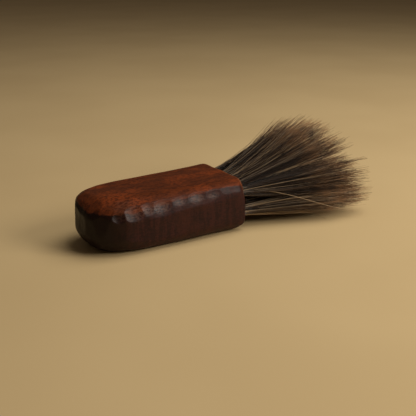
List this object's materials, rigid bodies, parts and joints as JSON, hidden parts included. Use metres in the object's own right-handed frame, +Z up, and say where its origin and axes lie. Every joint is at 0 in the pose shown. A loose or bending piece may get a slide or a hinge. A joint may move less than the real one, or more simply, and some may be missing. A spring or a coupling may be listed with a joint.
{
  "type": "bee brush",
  "caption": "Soft hand brush for sweeping bees off combs: a rounded wooden palm block with two rows of long dark hair tufts fanning out of its flat end.",
  "frame": {"origin": "middle of the block's flat underside", "axes": "+X along the block from the rounded palm end towards the hair, +Z up out of the surface that it rests on, +Y across the block"},
  "size_m": [0.2004, 0.092, 0.0585],
  "materials": {
    "lacquered_wood": "hand-carved hardwood under a thin red-brown lacquer, semi-gloss",
    "horsehair": "black-brown horsehair with grey and tan hairs mixed in, lighter towards the tips",
    "waxed_thread": "waxed linen thread, inside the holes",
    "pitch": "hardened black pitch, inside the holes"
  },
  "bodies": {
    "root": {"handle_block": "lacquered_wood", "hair_tuft_upper_1": "horsehair", "thread_whipping_upper_1": "waxed_thread", "pitch_plug_upper_1": "pitch", "hair_tuft_upper_2": "horsehair", "thread_whipping_upper_2": "waxed_thread", "pitch_plug_upper_2": "pitch", "hair_tuft_upper_3": "horsehair", "thread_whipping_upper_3": "waxed_thread", "pitch_plug_upper_3": "pitch", "hair_tuft_upper_4": "horsehair", "thread_whipping_upper_4": "waxed_thread", "pitch_plug_upper_4": "pitch", "hair_tuft_upper_5": "horsehair", "thread_whipping_upper_5": "waxed_thread", "pitch_plug_upper_5": "pitch", "hair_tuft_lower_1": "horsehair", "thread_whipping_lower_1": "waxed_thread", "pitch_plug_lower_1": "pitch", "hair_tuft_lower_2": "horsehair", "thread_whipping_lower_2": "waxed_thread", "pitch_plug_lower_2": "pitch", "hair_tuft_lower_3": "horsehair", "thread_whipping_lower_3": "waxed_thread", "pitch_plug_lower_3": "pitch", "hair_tuft_lower_4": "horsehair", "thread_whipping_lower_4": "waxed_thread", "pitch_plug_lower_4": "pitch", "hair_tuft_lower_5": "horsehair", "thread_whipping_lower_5": "waxed_thread", "pitch_plug_lower_5": "pitch"}
  },
  "joints": []
}
